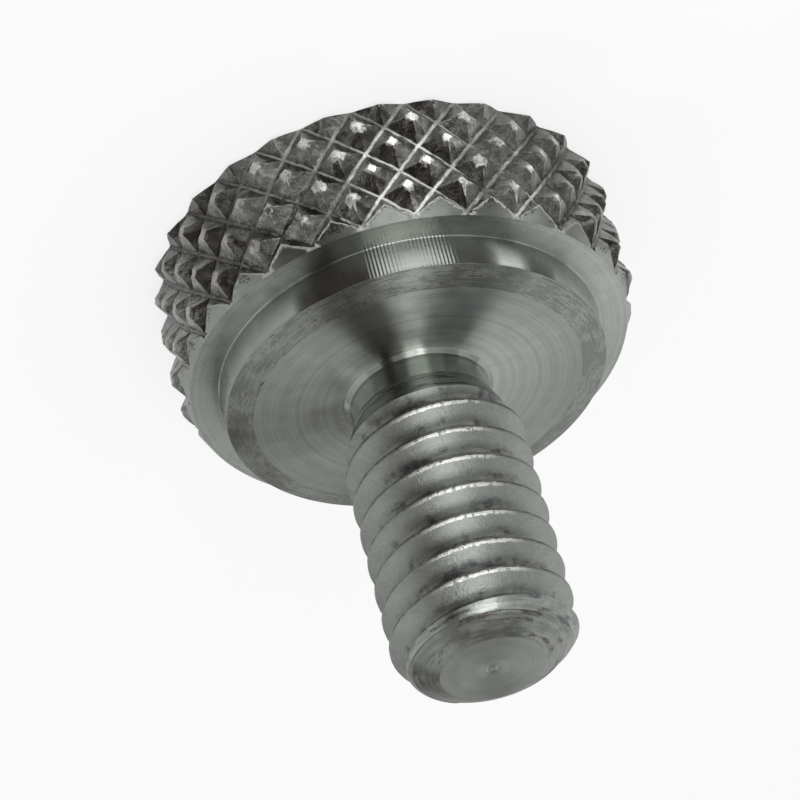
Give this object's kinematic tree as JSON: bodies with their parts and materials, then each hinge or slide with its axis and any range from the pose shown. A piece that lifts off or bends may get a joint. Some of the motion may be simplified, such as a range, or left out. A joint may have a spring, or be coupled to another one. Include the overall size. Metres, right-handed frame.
{
  "type": "thumb screw",
  "caption": "Short thumb screw with a round diamond-knurled head, a low shoulder boss, a relieved neck and a machine thread.",
  "frame": {"origin": "centre of the head's flat outer face, on which the screw stands", "axes": "+Z along the screw's axis, from the head to the tip"},
  "size_m": [0.01, 0.01, 0.0109],
  "materials": {
    "steel": "bare turned steel, slightly dulled, with bright burrs on the knurl and the thread crests"
  },
  "bodies": {
    "root": {"thumb_screw": "steel"}
  },
  "joints": []
}
